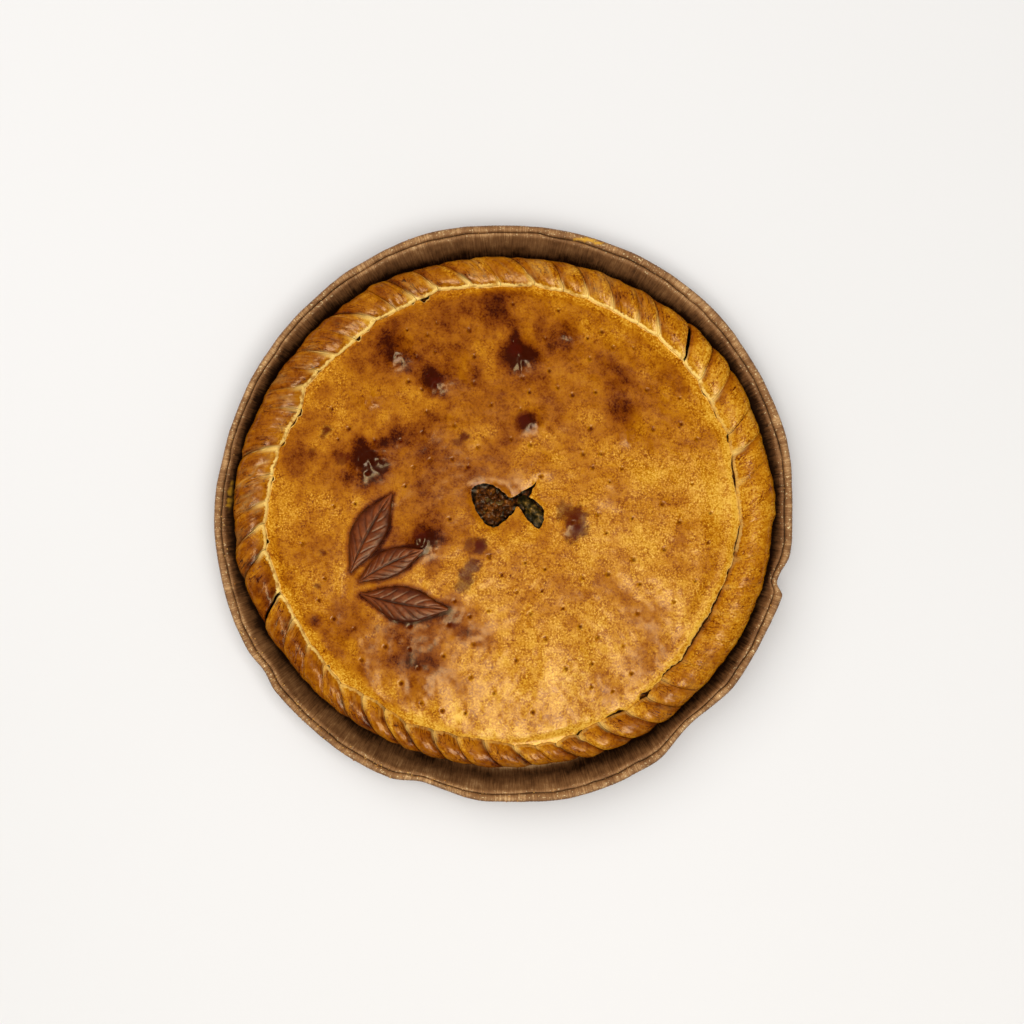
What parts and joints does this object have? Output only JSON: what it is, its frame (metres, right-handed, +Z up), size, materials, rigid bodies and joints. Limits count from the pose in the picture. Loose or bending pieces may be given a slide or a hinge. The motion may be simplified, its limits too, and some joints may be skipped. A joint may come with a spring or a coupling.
{
  "type": "meat empanada",
  "caption": "Large round savoury pie with a rope-crimped edge, a torn steam vent and pastry leaves on its lid, in a shallow paper baking case.",
  "frame": {"origin": "centre of the paper case's underside, below the middle of its rim", "axes": "+Z up through the lid; +Y is the top of the picture and +X its right"},
  "size_m": [0.3408, 0.3396, 0.0378],
  "materials": {
    "case_paper": "brown baking paper, pressed into fine pleats, matt, greasy in places",
    "crust": "baked bread dough, golden brown on the folds and paler in the grooves, soft satin",
    "lid_crust": "egg-washed baked dough, mottled golden brown, low gloss",
    "meat_filling": "moist cooked meat, onion and green pepper",
    "leaf_pastry": "dark browned egg-washed pastry, glossy"
  },
  "bodies": {
    "root": {"paper_case": "case_paper", "base_crust": "crust", "lid": "lid_crust", "filling": "meat_filling", "pastry_leaf_1": "leaf_pastry", "pastry_leaf_2": "leaf_pastry", "pastry_leaf_3": "leaf_pastry"}
  },
  "joints": []
}
